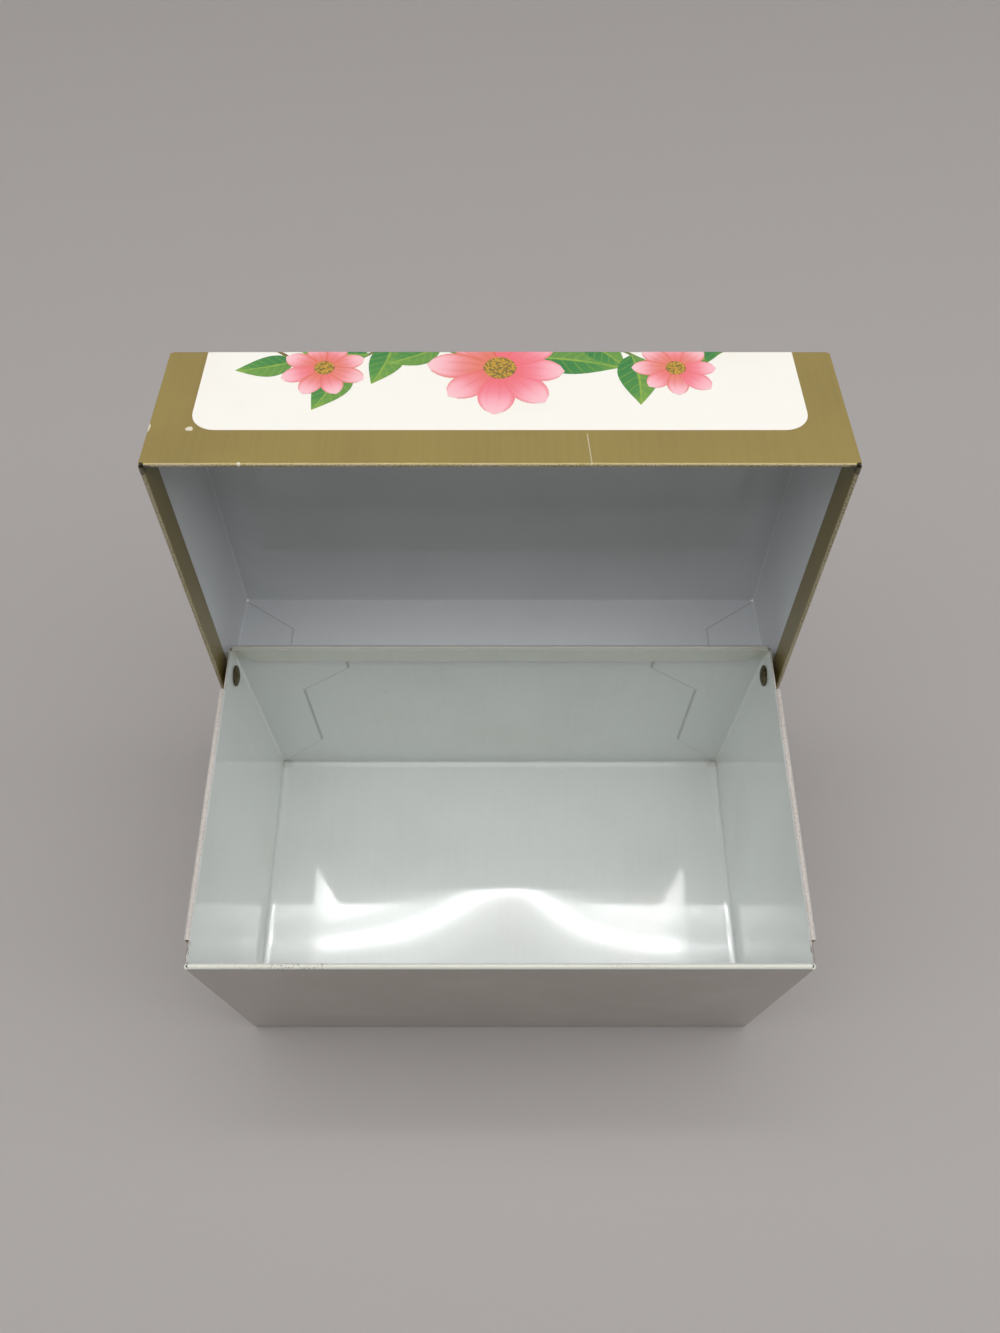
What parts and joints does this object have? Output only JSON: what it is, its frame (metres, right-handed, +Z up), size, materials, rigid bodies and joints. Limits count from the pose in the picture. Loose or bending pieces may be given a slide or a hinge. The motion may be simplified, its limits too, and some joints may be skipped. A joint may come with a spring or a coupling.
{
  "type": "recipe card box",
  "caption": "Folded tin box for recipe cards: an open tray with hemmed walls and a deep lid that swings back on hinge rivets to a stop.",
  "frame": {"origin": "middle of the tray's flat underside", "axes": "+X across the box to its right, -Y to its front, +Z up; the lid stands open behind, along +Y"},
  "size_m": [0.1362, 0.1109, 0.1374],
  "materials": {
    "tray_enamel": "glossy white enamel on tinplate",
    "lid_litho": "satin gold ink outside, glossy white enamel inside",
    "rivet_brass": "dull, slightly tarnished"
  },
  "bodies": {
    "tray": {"tray": "tray_enamel"},
    "lid": {"lid": "lid_litho", "hinge_rivet_left": "rivet_brass", "hinge_rivet_right": "rivet_brass"}
  },
  "joints": [
    {"name": "lid_hinge", "type": "hinge", "parent": "tray", "child": "lid", "pos_m": [0, 0.0337, 0.0638], "axis": [1, 0, 0], "range_deg": [0, 97.86]}
  ]
}
